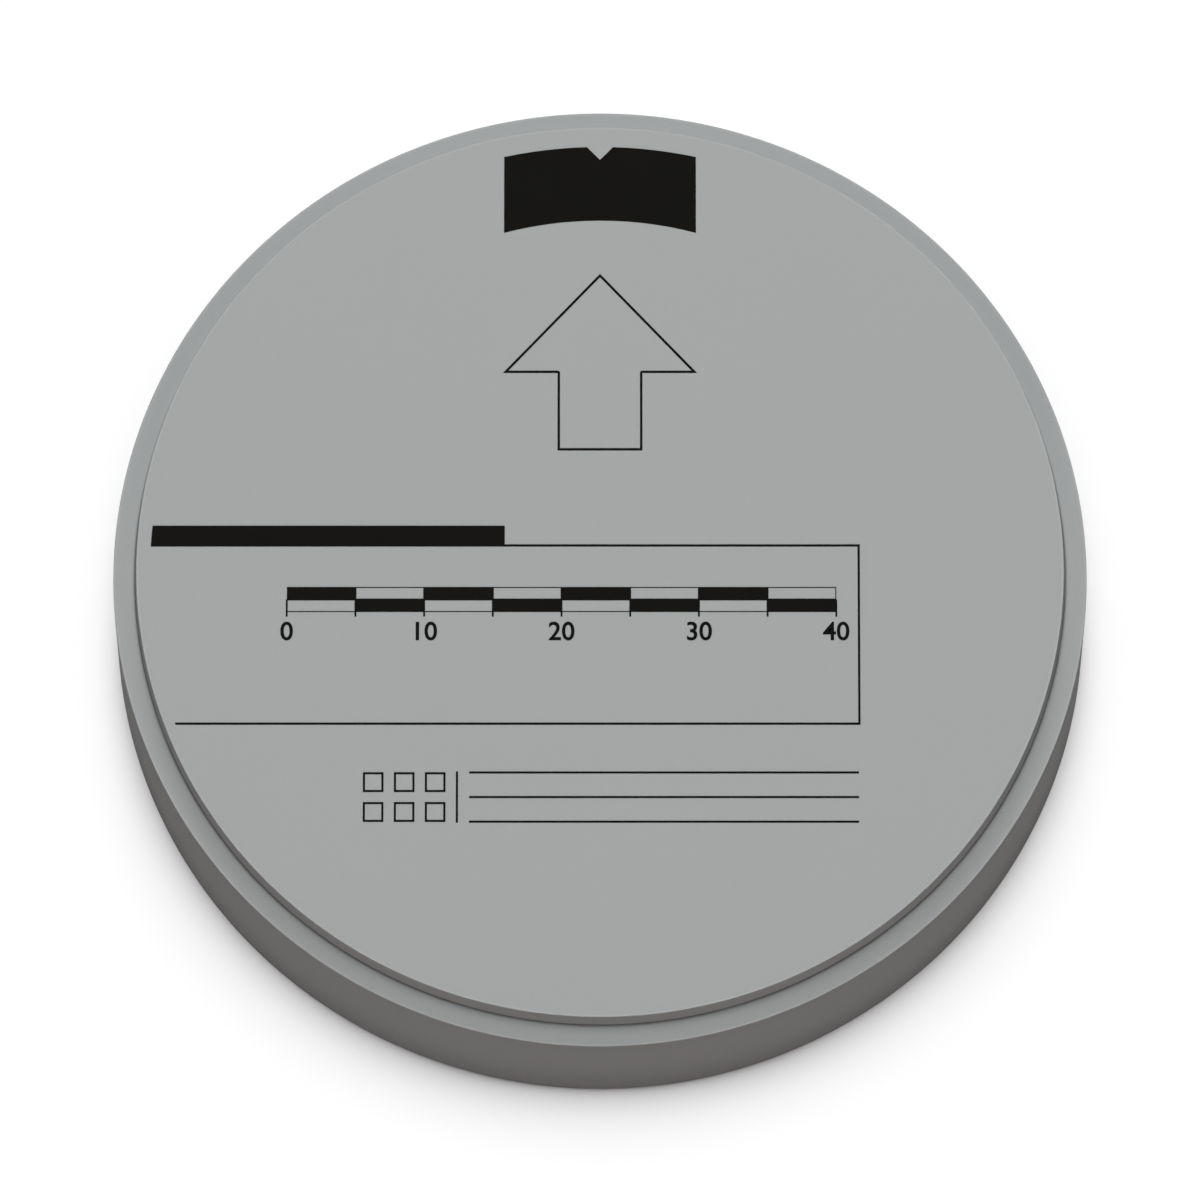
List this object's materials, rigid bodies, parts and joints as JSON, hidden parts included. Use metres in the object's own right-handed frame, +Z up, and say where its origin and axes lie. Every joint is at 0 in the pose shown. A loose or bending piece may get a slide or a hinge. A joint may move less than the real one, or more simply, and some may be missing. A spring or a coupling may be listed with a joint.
{
  "type": "dental milling disc",
  "caption": "Round pressed metal-powder blank with a raised flat face, a narrow clamping ledge, a thick rim and printed marks.",
  "frame": {"origin": "centre of the flat base, on the surface that the disc stands on", "axes": "+Z up along the disc's axis, out of the raised face; +Y towards the index mark; +X to the right of someone reading the print"},
  "size_m": [0.071, 0.071, 0.014],
  "materials": {
    "pressed_powder": "matt pressed and turned metal powder, unsintered, mid grey",
    "black_ink": "matt black printing ink"
  },
  "bodies": {
    "root": {"blank_disc": "pressed_powder", "index_mark": "black_ink", "label_bar": "black_ink", "label_frame": "black_ink", "arrow_outline": "black_ink", "scale_bar": "black_ink", "note_divider": "black_ink", "note_rules": "black_ink", "tick_boxes": "black_ink"}
  },
  "joints": []
}
